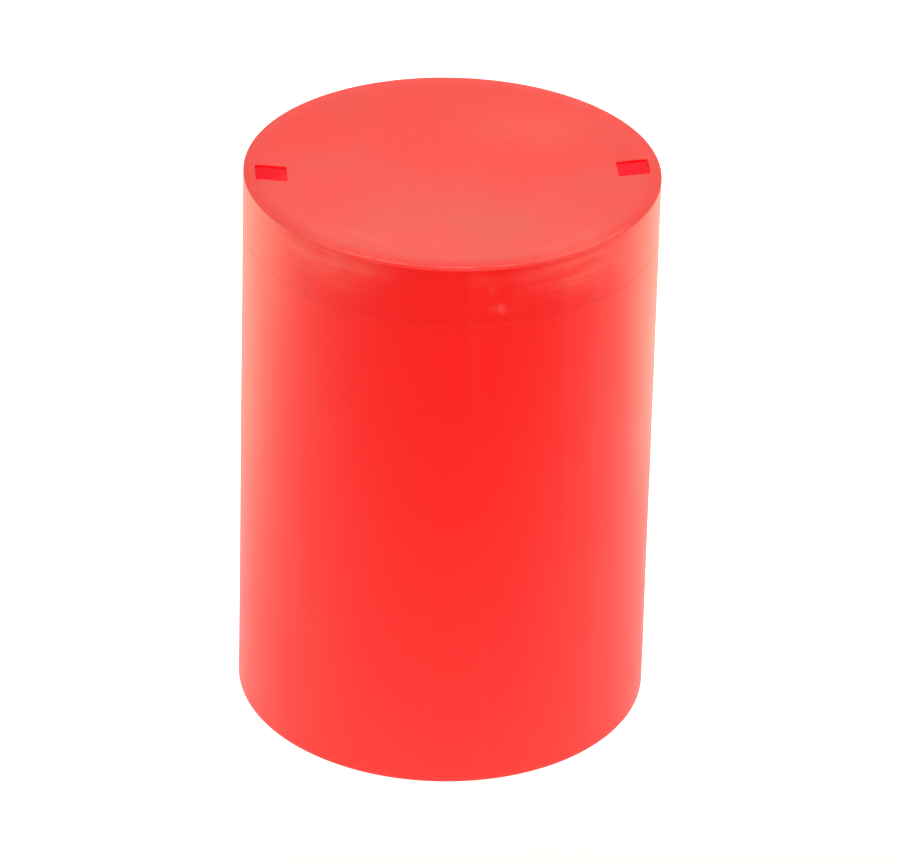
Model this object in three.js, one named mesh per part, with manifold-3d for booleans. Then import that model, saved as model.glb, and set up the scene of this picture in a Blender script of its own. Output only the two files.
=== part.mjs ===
// A drum-shaped water filled road barrier, as separate pieces in millimetres, +Z up.
//
// The drum stands on the ground plane z = 0 with its axis on the Z axis. A moulded wall narrows a little
// towards the top, where it is necked in to take the skirt of a dished head, so that the two are flush.
// Two square ports go through the head near its rim, on the X axis. A dished base plate closes the foot
// of the wall. Low on the +Y side a round pocket in the wall holds a drain fitting: a flanged bushing
// through the pocket's floor, its gasket and lock nut, and a plug with a seal ring, which unscrews
// outwards along +Y.

import * as THREE from "three";
import { mergeVertices } from "three/addons/utils/BufferGeometryUtils.js";
import Module from "manifold-3d";

const wasm = await Module();
wasm.setup();

// ---- Driving dimensions ----

const HEIGHT = 710;
const TOP_RADIUS = 250; // outside, at the rim
const FOOT_RADIUS = 255; // outside, at the ground
const WALL = 4; // thickness of the wall, the head and the pocket
const GAP = 0.3; // left between pieces that touch
const ROUND = 72; // segments round the drum
const FITTING_ROUND = 48; // segments round the drain fitting

const DISH_DEPTH = 13; // of the head, at its middle
const SKIRT_HEIGHT = 75; // of the head, down the outside of the wall
const SKIRT_THICKNESS = 3.5;
const PORT_SIDE = 38; // the ports are square
const PORT_RADIUS = 217; // from the drum's axis to the middle of a port

const BASE_LIFT = 5; // the base plate's edge above the ground
const BASE_THICKNESS = 5;
const BASE_CROWN = 10; // how far the base plate's middle rises above its edge

const DRAIN_HEIGHT = 75; // of the drain's axis above the ground
const POCKET_RADIUS = 55;
const POCKET_FLOOR = 220; // from the drum's axis to the outward face of the pocket's floor

const FLANGE_RADIUS = 40; // of the bushing and its gasket
const FLANGE_THICKNESS = 6;
const GASKET_THICKNESS = 2.5;
const BARREL_RADIUS = 32.5; // of the bushing, where it goes through the pocket's floor
const BARREL_LENGTH = 32; // from the flange's face to the bushing's inner end
const NUT_ACROSS_FLATS = 84;
const NUT_THICKNESS = 14;
const NUT_SIDES = 8;

const THREAD_PITCH = 4;
const THREAD_RIDGE = 1.1; // radius of the round thread's ridge
const THREAD_TURNS = 4;
const THREAD_STEPS = 24; // steps of the ridge in one turn
const THREAD_SIDES = 6; // sides of the ridge's section
const BUSHING_BORE = 28.3; // radius, between the ridges
const SHANK_RADIUS = 26.6; // of the plug, between the ridges
const SHANK_LENGTH = 20; // of the plug, into the bushing
const SHANK_HOLLOW_RADIUS = 22; // the plug is a cup, open to the water
const SEAL_THICKNESS = 3;
const SEAL_INNER_RADIUS = 28.1; // clears the thread's ridge as the seal goes on
const SEAL_OUTER_RADIUS = 34.5;
const CAP_RADIUS = 36; // the plug's own flange
const CAP_THICKNESS = 5;
const GRIP_LENGTH = 60;
const GRIP_WIDTH = 12;
const GRIP_HEIGHT = 12;

// ---- Materials ----

const redPlastic = new THREE.MeshStandardMaterial({ color: 0xf3362e, roughness: 0.38, metalness: 0 });
const darkRedPlastic = new THREE.MeshStandardMaterial({ color: 0xc9251f, roughness: 0.45, metalness: 0 });
const blackPlastic = new THREE.MeshStandardMaterial({ color: 0x202224, roughness: 0.5, metalness: 0 });
const blackRubber = new THREE.MeshStandardMaterial({ color: 0x17181a, roughness: 0.8, metalness: 0 });

// ---- Solids: making, cutting and joining ----

// A closed three.js geometry as a manifold-3d solid, with its faces turned outwards.
function solidOf(geometry) {
  const bare = new THREE.BufferGeometry();
  const source = geometry.index ? geometry.toNonIndexed() : geometry;
  bare.setAttribute("position", source.getAttribute("position"));
  const merged = mergeVertices(bare, 1e-3);
  const corners = Array.from(merged.index.array);
  const make = (triVerts) =>
    new wasm.Manifold(
      new wasm.Mesh({
        numProp: 3,
        vertProperties: merged.getAttribute("position").array,
        triVerts: new Uint32Array(triVerts),
      }),
    );
  const solid = make(corners);
  if (solid.volume() > 0) return solid;
  return make(corners.reverse());
}

// A manifold-3d solid as a three.js geometry with flat-shaded faces.
function geometryOf(solid) {
  const mesh = solid.getMesh();
  const points = new Float32Array(mesh.numVert * 3);
  for (let i = 0; i < mesh.numVert; i++) {
    points.set(mesh.vertProperties.subarray(i * mesh.numProp, i * mesh.numProp + 3), i * 3);
  }
  const indexed = new THREE.BufferGeometry();
  indexed.setAttribute("position", new THREE.BufferAttribute(points, 3));
  indexed.setIndex(new THREE.BufferAttribute(mesh.triVerts, 1));
  const geometry = indexed.toNonIndexed();
  geometry.computeVertexNormals();
  return geometry;
}

// A named piece made of one solid.
function piece(name, solid, material) {
  const mesh = new THREE.Mesh(geometryOf(solid), material);
  mesh.name = name;
  return mesh;
}

// A profile of [radius, height] points turned round the Z axis. The profile closes on itself.
function revolve(profile, segments = ROUND) {
  const points = [...profile, profile[0]].map(([radius, height]) => new THREE.Vector2(radius, height));
  return solidOf(new THREE.LatheGeometry(points, segments).rotateX(Math.PI / 2));
}

// A flat ring or disc of the given radii between two heights.
function ring(inner, outer, low, high, segments = FITTING_ROUND) {
  return revolve([[inner, low], [outer, low], [outer, high], [inner, high]], segments);
}

// A round bar along +Y, centred on the drain's axis.
function drainCylinder(radius, start, end) {
  const geometry = new THREE.CylinderGeometry(radius, radius, end - start, FITTING_ROUND);
  return solidOf(geometry.translate(0, (start + end) / 2, DRAIN_HEIGHT));
}

// ---- Shapes that several pieces share ----

// Outside radius of the drum at a height.
function outsideRadius(height) {
  return FOOT_RADIUS - ((FOOT_RADIUS - TOP_RADIUS) * height) / HEIGHT;
}

// Height of the head's upper face at a distance from the axis.
function dishHeight(radius) {
  return HEIGHT - DISH_DEPTH * (1 - (radius / TOP_RADIUS) ** 2);
}

// Height of the base plate's underside at a distance from the axis.
function crownHeight(radius) {
  return BASE_LIFT + BASE_CROWN * (1 - (radius / FOOT_RADIUS) ** 2);
}

// Points of a curved face from the axis out to a radius.
function curvedFace(heightAt, outer, offset = 0, steps = 5) {
  return Array.from({ length: steps + 1 }, (_, i) => {
    const radius = (outer * i) / steps;
    return [radius, heightAt(radius) + offset];
  });
}

// The centreline of a right-hand thread's ridge round the Z axis.
class ThreadCurve extends THREE.Curve {
  constructor(radius, start, turns) {
    super();
    Object.assign(this, { radius, start, turns });
  }

  getPoint(t, target = new THREE.Vector3()) {
    const angle = 2 * Math.PI * this.turns * t;
    const height = this.start + THREAD_PITCH * this.turns * t;
    return target.set(this.radius * Math.cos(angle), this.radius * Math.sin(angle), height);
  }
}

// A thread's round ridge. It is round, so it needs no steady section direction along the helix.
function threadRidge(radius, start, turns) {
  const section = new THREE.Shape().absarc(0, 0, THREAD_RIDGE, 0, 2 * Math.PI);
  const geometry = new THREE.ExtrudeGeometry(section, {
    curveSegments: THREAD_SIDES / 2, // a whole circle takes twice as many
    steps: Math.round(turns * THREAD_STEPS),
    extrudePath: new ThreadCurve(radius, start, turns),
  });
  return solidOf(geometry);
}

// ---- The drum's own pieces ----

const SEAM_HEIGHT = HEIGHT - SKIRT_HEIGHT; // the skirt's lower edge
const NECK_INSET = SKIRT_THICKNESS + GAP; // the neck's outside, in from the drum's

function makeTopHead() {
  const upper = curvedFace(dishHeight, TOP_RADIUS);
  const innerTop = TOP_RADIUS - SKIRT_THICKNESS;
  const lower = curvedFace(dishHeight, innerTop, -WALL).reverse();
  const skirt = [
    [outsideRadius(SEAM_HEIGHT), SEAM_HEIGHT],
    [outsideRadius(SEAM_HEIGHT) - SKIRT_THICKNESS, SEAM_HEIGHT],
  ];
  let solid = revolve([...upper, ...skirt, ...lower]);
  for (const side of [-1, 1]) {
    const port = new THREE.BoxGeometry(PORT_SIDE, PORT_SIDE, 4 * DISH_DEPTH);
    solid = solid.subtract(solidOf(port.translate(side * PORT_RADIUS, 0, HEIGHT)));
  }
  return piece("top_head", solid, redPlastic);
}

function makeBarrelWall() {
  const shoulder = SEAM_HEIGHT - GAP;
  const neckTop = dishHeight(TOP_RADIUS - NECK_INSET - WALL) - WALL - GAP;
  const innerBend = shoulder - 2 * WALL; // where the wall's inside turns in to the neck
  const shell = revolve([
    [outsideRadius(0), 0],
    [outsideRadius(shoulder), shoulder],
    [outsideRadius(shoulder) - NECK_INSET, shoulder],
    [outsideRadius(neckTop) - NECK_INSET, neckTop],
    [outsideRadius(neckTop) - NECK_INSET - WALL, neckTop],
    [outsideRadius(shoulder) - NECK_INSET - WALL, shoulder - WALL],
    [outsideRadius(innerBend) - WALL, innerBend],
    [outsideRadius(0) - WALL, 0],
  ]);
  const outside = revolve([
    [0, 0],
    [outsideRadius(0), 0],
    [outsideRadius(shoulder), shoulder],
    [0, shoulder],
  ]);
  const block = drainCylinder(POCKET_RADIUS + WALL, POCKET_FLOOR - WALL, FOOT_RADIUS + WALL);
  const pocket = block.intersect(outside);
  const hollow = drainCylinder(POCKET_RADIUS, POCKET_FLOOR, FOOT_RADIUS + 2 * WALL);
  const hole = drainCylinder(BARREL_RADIUS + GAP, POCKET_FLOOR - 2 * WALL, POCKET_FLOOR + WALL);
  return piece("barrel_wall", shell.add(pocket).subtract(hollow).subtract(hole), redPlastic);
}

function makeBasePlate() {
  const radius = outsideRadius(BASE_LIFT) - WALL - GAP;
  const under = curvedFace(crownHeight, radius);
  const over = curvedFace(crownHeight, radius, BASE_THICKNESS).reverse();
  return piece("base_plate", revolve([...under, ...over]), redPlastic);
}

// ---- The drain fitting, on its own axis: local +Z points out of the drum, from the pocket's floor ----

const FLANGE_LOW = GASKET_THICKNESS + 2 * GAP;
const FLANGE_FACE = FLANGE_LOW + FLANGE_THICKNESS;
const SEAL_LOW = FLANGE_FACE + GAP;
const CAP_LOW = SEAL_LOW + SEAL_THICKNESS + GAP;
const CAP_FACE = CAP_LOW + CAP_THICKNESS;
const SHANK_END = FLANGE_FACE - SHANK_LENGTH;
const PLUG_THREAD_START = SHANK_END + THREAD_PITCH / 2;
const BUSHING_THREAD_START = PLUG_THREAD_START - THREAD_PITCH / 2; // half a turn out of step, to mesh

function makeGasket() {
  const solid = ring(BARREL_RADIUS + GAP, FLANGE_RADIUS, GAP, GAP + GASKET_THICKNESS);
  return piece("bushing_gasket", solid, blackRubber);
}

function makeBushing() {
  const inner = FLANGE_FACE - BARREL_LENGTH;
  const body = revolve(
    [
      [BUSHING_BORE, inner],
      [BARREL_RADIUS, inner],
      [BARREL_RADIUS, FLANGE_LOW],
      [FLANGE_RADIUS, FLANGE_LOW],
      [FLANGE_RADIUS, FLANGE_FACE],
      [BUSHING_BORE, FLANGE_FACE],
    ],
    FITTING_ROUND,
  );
  const ridge = threadRidge(BUSHING_BORE, BUSHING_THREAD_START, THREAD_TURNS);
  return piece("drain_bushing", body.add(ridge), blackPlastic);
}

function makeLockNut() {
  const high = -WALL - GAP;
  const low = high - NUT_THICKNESS;
  const cornerRadius = NUT_ACROSS_FLATS / 2 / Math.cos(Math.PI / NUT_SIDES);
  const block = new THREE.CylinderGeometry(cornerRadius, cornerRadius, NUT_THICKNESS, NUT_SIDES);
  block.rotateX(Math.PI / 2).translate(0, 0, (low + high) / 2);
  const bore = ring(0, BARREL_RADIUS + GAP, low - WALL, high + WALL);
  return piece("bushing_locknut", solidOf(block).subtract(bore), blackPlastic);
}

function makeSeal() {
  const middle = (SEAL_INNER_RADIUS + SEAL_OUTER_RADIUS) / 2;
  const half = (SEAL_OUTER_RADIUS - SEAL_INNER_RADIUS) / 2;
  const sides = 8; // an octagon with its flat sides on the flange and on the plug's cap
  const flatSide = Math.cos(Math.PI / sides);
  const profile = Array.from({ length: sides }, (_, i) => {
    const angle = (2 * Math.PI * (i + 0.5)) / sides;
    const height = SEAL_LOW + (SEAL_THICKNESS / 2) * (1 + Math.sin(angle) / flatSide);
    return [middle + (half * Math.cos(angle)) / flatSide, height];
  });
  return piece("plug_seal", revolve(profile, FITTING_ROUND), blackRubber);
}

function makePlug() {
  const hollowEnd = CAP_LOW - WALL;
  const body = revolve(
    [
      [0, hollowEnd],
      [SHANK_HOLLOW_RADIUS, hollowEnd],
      [SHANK_HOLLOW_RADIUS, SHANK_END],
      [SHANK_RADIUS, SHANK_END],
      [SHANK_RADIUS, CAP_LOW],
      [CAP_RADIUS, CAP_LOW],
      [CAP_RADIUS, CAP_FACE],
      [0, CAP_FACE],
    ],
    FITTING_ROUND,
  );
  const straight = (GRIP_LENGTH - GRIP_WIDTH) / 2;
  const outline = new THREE.Shape()
    .absarc(0, straight, GRIP_WIDTH / 2, 0, Math.PI)
    .absarc(0, -straight, GRIP_WIDTH / 2, Math.PI, 2 * Math.PI);
  const grip = new THREE.ExtrudeGeometry(outline, {
    depth: GRIP_HEIGHT + WALL,
    bevelEnabled: false,
    curveSegments: 8,
  });
  const ridge = threadRidge(SHANK_RADIUS, PLUG_THREAD_START, THREAD_TURNS);
  const solid = body.add(solidOf(grip.translate(0, 0, CAP_FACE - WALL))).add(ridge);
  return piece("drain_plug", solid, darkRedPlastic);
}

function makeDrainFitting() {
  const fitting = new THREE.Group();
  fitting.add(makeGasket(), makeBushing(), makeLockNut(), makeSeal(), makePlug());
  fitting.rotation.x = -Math.PI / 2; // local +Z becomes +Y
  fitting.position.set(0, POCKET_FLOOR, DRAIN_HEIGHT);
  return fitting;
}

// ---- The whole barrier ----

const barrier = new THREE.Group();
barrier.add(makeBarrelWall(), makeTopHead(), makeBasePlate(), makeDrainFitting());

export default barrier;
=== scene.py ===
# The looks of a drum-shaped water filled road barrier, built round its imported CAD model.
#
# The drum is hollow and made of bright red, slightly translucent polyethylene: a wall, a dished head with
# two square ports, and a base plate. Low at the back is a drain fitting in a round pocket. The drum stands
# on Z = 0 with its axis on Z, and its drain faces +Y. Shapes are in millimetres until Shell.build turns
# them into metres. Materials, lights and the camera are in metres.

import math

import bmesh
import bpy
import numpy as np
from mathutils import Matrix, Vector


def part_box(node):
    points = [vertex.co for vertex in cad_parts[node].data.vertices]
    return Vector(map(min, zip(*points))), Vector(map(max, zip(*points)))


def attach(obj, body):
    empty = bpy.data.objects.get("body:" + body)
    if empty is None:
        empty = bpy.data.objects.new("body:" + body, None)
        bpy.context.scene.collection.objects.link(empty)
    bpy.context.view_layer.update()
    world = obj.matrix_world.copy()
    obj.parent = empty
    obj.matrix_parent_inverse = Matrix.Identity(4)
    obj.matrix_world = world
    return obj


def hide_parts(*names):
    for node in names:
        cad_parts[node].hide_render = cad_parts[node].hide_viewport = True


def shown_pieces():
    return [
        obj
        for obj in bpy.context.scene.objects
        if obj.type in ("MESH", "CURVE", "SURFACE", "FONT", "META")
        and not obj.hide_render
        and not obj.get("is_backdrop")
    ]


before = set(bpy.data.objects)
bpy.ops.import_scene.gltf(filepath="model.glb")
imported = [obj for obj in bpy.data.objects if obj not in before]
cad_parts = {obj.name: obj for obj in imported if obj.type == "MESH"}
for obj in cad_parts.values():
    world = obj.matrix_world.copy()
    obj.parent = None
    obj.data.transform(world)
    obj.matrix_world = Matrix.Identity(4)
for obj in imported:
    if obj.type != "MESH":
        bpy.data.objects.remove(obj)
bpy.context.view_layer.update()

MM = 0.001


def box_mm(node):
    """Lowest and highest corner of a CAD node, in millimetres."""
    return tuple(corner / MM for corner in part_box(node))


# ---- Sizes, from the frame ----

wall_high = box_mm("barrel_wall")[1]
head_low, head_high = box_mm("top_head")
flange_low, flange_high = box_mm("drain_bushing")
gasket_low, gasket_high = box_mm("bushing_gasket")
nut_low, nut_high = box_mm("bushing_locknut")
seal_low, seal_high = box_mm("plug_seal")
plug_low, plug_high = box_mm("drain_plug")

HEIGHT = head_high.z
SEAM_HEIGHT = head_low.z
FOOT_RADIUS = wall_high.x
TAPER = (FOOT_RADIUS - head_high.x) / SEAM_HEIGHT
TOP_RADIUS = FOOT_RADIUS - TAPER * HEIGHT
NECK_TOP = wall_high.z
DRAIN_HEIGHT = (flange_low.z + flange_high.z) / 2
FLANGE_RADIUS = flange_high.x
CAP_RADIUS = plug_high.x

# ---- Sizes that the frame's boxes don't give ----

WALL = 4  # thickness of the wall and the head
GAP = 0.3  # between pieces that fit together
SKIRT = 3.5  # thickness of the head's skirt
DISH_DEPTH = 13
PORT_SIDE = 38
PORT_RADIUS = 217  # from the drum's axis to a port's middle
LAND_START = 226  # where the head's dish begins to roll over towards the rim
LAND_DROP = 3.2  # how far its roll-over brings the rim down
LAND_RISE = 2.3  # how much the dish is steepened, so that its crest is as high as the drum
BASE_LIFT = 5  # from the ground to the edge of the base plate's underside
BASE_THICKNESS = 5
BASE_CROWN = 10  # how much higher the middle of the base plate is than its edge
POCKET_RADIUS = 55
POCKET_FLOOR = gasket_low.y - GAP  # its Y
BARREL_RADIUS = FLANGE_RADIUS - 7.5  # of the bushing's barrel, which goes through the pocket's floor

COLUMNS = 288  # points round the drum
HUB_RADIUS = 5  # of the innermost row of points on the head and the base


# ---- Meshes ----


class Shell:
    """A mesh under construction: points in millimetres, and the faces between them."""

    def __init__(self):
        self.points = []
        self.faces = []

    def add(self, points):
        """Adds points and returns their numbers in the same arrangement."""
        points = np.asarray(points, float)
        first = len(self.points)
        self.points.extend(points.reshape(-1, 3))
        return np.arange(first, len(self.points)).reshape(points.shape[:-1])

    def band(self, one, other):
        """Faces between two closed loops of as many points."""
        for i, j in zip(range(len(one)), np.roll(range(len(one)), -1)):
            self.faces.append((one[i], one[j], other[j], other[i]))

    def bands(self, loops):
        for one, other in zip(loops[:-1], loops[1:]):
            self.band(one, other)

    def zip_loops(self, one, one_turns, other, other_turns):
        """Triangles between two closed loops whose points run the same way round, by their angles."""
        one_order, other_order = np.argsort(one_turns), np.argsort(other_turns)
        one, one_turns = np.asarray(one)[one_order], np.asarray(one_turns)[one_order]
        other, other_turns = np.asarray(other)[other_order], np.asarray(other_turns)[other_order]
        i = j = 0
        while i < len(one) or j < len(other):
            next_one = one_turns[i] if i < len(one) else np.inf
            next_other = other_turns[j] if j < len(other) else np.inf
            if next_one <= next_other:
                self.faces.append((one[i - 1], one[i], other[j - 1]))
                i += 1
            else:
                self.faces.append((one[i - 1], other[j], other[j - 1]))
                j += 1

    def fan(self, loop, centre):
        """Triangles from a closed loop to one point."""
        hub = self.add([centre])[0]
        for i, j in zip(loop, np.roll(loop, -1)):
            self.faces.append((i, j, hub))

    def build(self, name, material, shape=None, hidden=None):
        """The finished object, in metres, with its faces turned outwards. Faces whose middle passes the
        hidden test get the material of the mouldings' inside."""
        points = np.array(self.points)
        middles = np.array([points[list(face)].mean(axis=0) for face in self.faces])
        if shape is not None:
            points = shape(points)
        mesh = bpy.data.meshes.new(name)
        mesh.from_pydata((points * MM).tolist(), [], [tuple(int(i) for i in f) for f in self.faces])
        mesh.materials.append(material)
        if hidden is not None:
            mesh.materials.append(inner_red)
            mesh.polygons.foreach_set("material_index", hidden(middles).astype(np.int32))
        turn_outwards(mesh)
        mesh.shade_smooth()
        piece = bpy.data.objects.new(name, mesh)
        bpy.context.scene.collection.objects.link(piece)
        flat = piece.modifiers.new("flat_faces_stay_flat", "WEIGHTED_NORMAL")
        flat.weight = 60
        return piece


def turn_outwards(mesh):
    work = bmesh.new()
    work.from_mesh(mesh)
    bmesh.ops.recalc_face_normals(work, faces=work.faces)
    work.to_mesh(mesh)
    work.free()


def arc(centre, radius, start, end, steps=4):
    """Points of a round corner in a profile, its angles in degrees."""
    turns = np.radians(np.linspace(start, end, steps + 1))
    return [(centre[0] + radius * math.cos(t), centre[1] + radius * math.sin(t)) for t in turns]


def line(start, end, pitch):
    """Points from start up to but not including end, about pitch apart."""
    steps = max(1, round(math.dist(start, end) / pitch))
    return [tuple(np.array(start) + (np.array(end) - start) * i / steps) for i in range(steps)]


def column_turns(columns=COLUMNS):
    return 2 * math.pi * np.arange(columns) / columns


def revolved(profile, columns=COLUMNS):
    """Points of a profile of (radius, height) turned round the Z axis, one row for each point of the
    profile. A radius or a height may also hold a value for each column."""
    turns = column_turns(columns)
    radii = np.array([np.broadcast_to(radius, columns) for radius, _ in profile])
    heights = np.array([np.broadcast_to(height, columns) for _, height in profile])
    return np.stack([radii * np.cos(turns), radii * np.sin(turns), heights], axis=-1)


def rows_with_windows(shell, rows, windows, closed=True):
    """Faces between rows of a revolved grid, left open in each window of (first row, last row, middle
    column, half width in columns). Returns the loop of points round each window."""
    count, columns = rows.shape
    left_open = set()
    for first, last, middle, half in windows:
        for k in range(first, last):
            for i in range(middle - half, middle + half):
                left_open.add((k, i % columns))
    for k in range(count if closed else count - 1):
        for i in range(columns):
            if (k, i) not in left_open:
                above, beside = (k + 1) % count, (i + 1) % columns
                shell.faces.append((rows[k, i], rows[k, beside], rows[above, beside], rows[above, i]))
    loops = []
    for first, last, middle, half in windows:
        low = [rows[first, i % columns] for i in range(middle - half, middle + half)]
        right = [rows[k, (middle + half) % columns] for k in range(first, last)]
        high = [rows[last, i % columns] for i in range(middle + half, middle - half, -1)]
        left = [rows[k, (middle - half) % columns] for k in range(last, first, -1)]
        loops.append(low + right + high + left)
    return loops


# ---- The drum's own shape ----


def outside_radius(height):
    return FOOT_RADIUS - TAPER * height


def dish_height(radius):
    """Height of the head's upper face: a shallow dish that rolls over into a narrow land inside the rim."""
    share = (radius / TOP_RADIUS) ** 2
    dish = HEIGHT - DISH_DEPTH * (1 - share) + LAND_RISE * share
    over = np.maximum(radius - LAND_START, 0) / (TOP_RADIUS - LAND_START)
    return dish - LAND_DROP * over**2


def crown_height(radius):
    return BASE_LIFT + BASE_CROWN * (1 - (radius / FOOT_RADIUS) ** 2)


WAVES = (  # rise in millimetres, count round the drum, and phases in radians: up the drum, and at +X
    (0.22, 3, 5.0, 0.6),
    (0.16, 5, -9.0, 2.1),
    (0.10, 11, 13.0, 4.0),
)
RIPPLE_RISE = 0.35  # of the closer ripples in a patch on the right of the drum, halfway up


def settled(points):
    """Points of the moulding moved in or out a little, as its wall cooled: long soft waves."""
    turn = np.arctan2(points[:, 1], points[:, 0])
    height = points[:, 2] / HEIGHT
    reach = np.hypot(points[:, 0], points[:, 1])
    wave = sum(rise * np.sin(around * turn + up * height + phase) for rise, around, up, phase in WAVES)
    side = np.exp(-((turn + 0.45) ** 2) / 0.18) * np.exp(-((height - 0.5) ** 2) / 0.03)
    wave += RIPPLE_RISE * side * np.sin(34.0 * height + 6.0 * turn)
    # The foot and the rim stay round, and so does what is well inside the drum.
    held = np.clip(height / 0.08, 0, 1) * np.clip((1 - height) / 0.05, 0, 1)
    share = np.clip(reach / TOP_RADIUS - 0.85, 0, 0.1) / 0.1
    scale = 1 + wave * held * share / np.maximum(reach, 1)
    return np.column_stack([points[:, 0] * scale, points[:, 1] * scale, points[:, 2]])


def rounded_square(side, corner, count):
    """Angles and reaches of the outline of a square with round corners, evenly along each quarter."""
    flat = side / 2 - corner
    quarter = []
    for share in (np.arange(count // 4) + 0.5) / (count // 4):
        length = share * (2 * flat + math.pi / 2 * corner)
        if length < flat:
            quarter.append((side / 2, length))
        elif length < flat + math.pi / 2 * corner:
            turn = (length - flat) / corner
            quarter.append((flat + corner * math.cos(turn), flat + corner * math.sin(turn)))
        else:
            quarter.append((2 * flat + math.pi / 2 * corner - length, side / 2))
    points = []
    for turn in range(4):
        c, s = math.cos(turn * math.pi / 2), math.sin(turn * math.pi / 2)
        points += [(c * x - s * y, s * x + c * y) for x, y in quarter]
    x, y = np.array(points).T
    return np.arctan2(y, x) % (2 * math.pi), np.hypot(x, y)


def window_reach(turns, half_x, half_y):
    """How far the edge of a rectangle is from its middle at each angle."""
    with np.errstate(divide="ignore"):
        return np.minimum(half_x / np.abs(np.cos(turns)), half_y / np.abs(np.sin(turns)))


# ---- Materials ----


def node(tree, kind, inputs=None, **settings):
    """A shader node with its settings and inputs, each input a value or another node's output."""
    made = tree.nodes.new(kind)
    for name, value in settings.items():
        setattr(made, name, value)
    for name, value in (inputs or {}).items():
        if isinstance(value, bpy.types.NodeSocket):
            tree.links.new(value, made.inputs[name])
        else:
            made.inputs[name].default_value = value
    return made


COLOUR_A, COLOUR_B, COLOUR_RESULT = 6, 7, 2  # sockets of a colour mix node


def maths(tree, operation, *values):
    return node(tree, "ShaderNodeMath", dict(enumerate(values)), operation=operation).outputs[0]


def step(tree, value, low, high, start=0.0, end=1.0):
    """A smooth step from start to end as value goes from low to high."""
    bounds = {"Value": value, "From Min": low, "From Max": high, "To Min": start, "To Max": end}
    return node(tree, "ShaderNodeMapRange", bounds, interpolation_type="SMOOTHSTEP").outputs["Result"]


def noise(tree, place, per_metre, detail=2.0):
    """Noise with so many grains per metre along each axis."""
    mapped = node(tree, "ShaderNodeMapping", {"Vector": place, "Scale": per_metre}).outputs[0]
    return node(tree, "ShaderNodeTexNoise", {"Vector": mapped, "Scale": 1.0, "Detail": detail}).outputs[0]


def near(tree, place, middle, size):
    """1 at the middle, fading to 0 at a distance of size along each axis."""
    away = node(tree, "ShaderNodeVectorMath", {0: place, 1: middle}, operation="SUBTRACT").outputs[0]
    scaled = node(tree, "ShaderNodeVectorMath", {0: away, 1: size}, operation="DIVIDE").outputs[0]
    length = node(tree, "ShaderNodeVectorMath", {0: scaled}, operation="LENGTH").outputs["Value"]
    return step(tree, length, 0.1, 1.0, 1.0, 0.0)


def bump(tree, shader, height, distance):
    """Relief of so many metres on a shader, over any relief that it has."""
    made = node(tree, "ShaderNodeBump", {"Height": height, "Distance": distance})
    under = shader.inputs["Normal"].links
    if under:
        tree.links.new(under[0].from_socket, made.inputs["Normal"])
    tree.links.new(made.outputs[0], shader.inputs["Normal"])


def plastic(name, colour, worn_colour, roughness, grain=900.0):
    """Moulded plastic or rubber: a fine grain, uneven gloss, and paler rubbed patches."""
    material = bpy.data.materials.new(name)
    material.use_nodes = True
    tree = material.node_tree
    shader = tree.nodes["Principled BSDF"]
    place = node(tree, "ShaderNodeTexCoord").outputs["Object"]
    rubbed = noise(tree, place, (60, 60, 60), 5.0)
    mix = node(tree, "ShaderNodeMix", {"Factor": step(tree, rubbed, 0.45, 0.75)}, data_type="RGBA")
    mix.inputs[COLOUR_A].default_value = (*colour, 1)
    mix.inputs[COLOUR_B].default_value = (*worn_colour, 1)
    tree.links.new(mix.outputs[COLOUR_RESULT], shader.inputs["Base Color"])
    gloss = step(tree, rubbed, 0.3, 0.7, roughness - 0.06, roughness + 0.1)
    tree.links.new(gloss, shader.inputs["Roughness"])
    bump(tree, shader, noise(tree, place, (grain, grain, grain)), 0.00006)
    return material


THROUGH = 0.38  # share of the light that the red plastic's outside passes on, in place of sending it back
THROUGH_INSIDE = 0.98  # and its inside

RED = (0.95, 0.005, 0.009)
TOP_SHADE_AND_HAZE_RED = (0.65, 0.105, 0.083)  # painted light and shade on the head's upward face, with random haze: less red and paler
PALE_RED = (0.99, 0.15, 0.12)  # where it has been trimmed or rubbed, and for the painted highlight and painted light by the rim

# Places and sizes of marks on the drum, in metres. Those "as radius" are (radius, 0, height), all round it.
TOP_SHADE_PLACE, TOP_SHADE_SIZE = (0.0, -0.13, 0.7), (0.2, 0.13, 0.05)  # where the painted light and shade on the head is strongest
STREAK_AND_LIGHT_PATCHES = ((-0.16, -0.19, 0.695), (0.14, -0.205, 0.69))  # patches where the trimming tool ran, which also get painted light that lifts the shade under the rim
STREAK_AND_LIGHT_PATCH_SIZE = (0.11, 0.11, 0.045)
TOOL_MARKS, TOOL_MARKS_SIZE = (0.11, 0.12, 0.7), (0.12, 0.1, 0.05)  # round marks on the head
RIM_HIGHLIGHT_PLACE, RIM_HIGHLIGHT_SIZE = (0.2469, 0, 0.7094), (0.0013, 1, 0.0013)  # the painted highlight on the rim's edge, as radius
SCUFFS = (  # middle, size and strength of each pale scuff below the rim
    ((0.037, -0.2475, 0.655), (0.019, 0.03, 0.011), 1.0),
    ((0.029, -0.2485, 0.68), (0.009, 0.03, 0.012), 0.35),
)


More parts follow.
